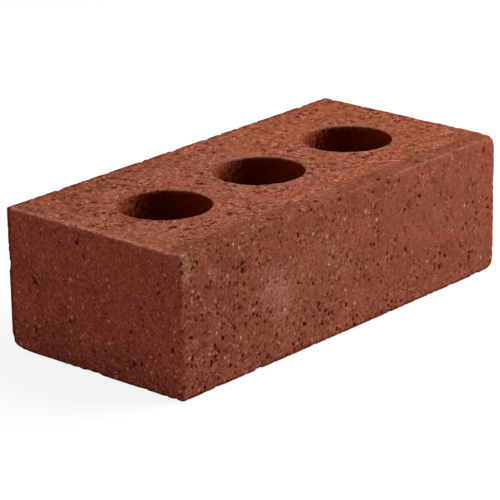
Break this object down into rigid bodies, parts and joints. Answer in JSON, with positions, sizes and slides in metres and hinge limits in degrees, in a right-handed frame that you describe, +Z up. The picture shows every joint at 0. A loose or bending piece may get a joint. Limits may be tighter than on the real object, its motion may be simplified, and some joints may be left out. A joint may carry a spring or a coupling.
{
  "type": "perforated clay brick",
  "caption": "Fired clay wirecut facing brick with round through perforations in a row and smooth sides between rough bed faces.",
  "frame": {"origin": "middle of the lower bed face, on the level that the brick lies on", "axes": "+X along the length, away from the fair header; +Y across the width, away from the fair stretcher face; +Z up through the perforations"},
  "size_m": [0.215, 0.1024, 0.065],
  "materials": {
    "fired_clay": "unglazed fired clay, dark red, dense smooth sides and torn granular bed faces, matt"
  },
  "bodies": {
    "root": {"brick": "fired_clay"}
  },
  "joints": []
}
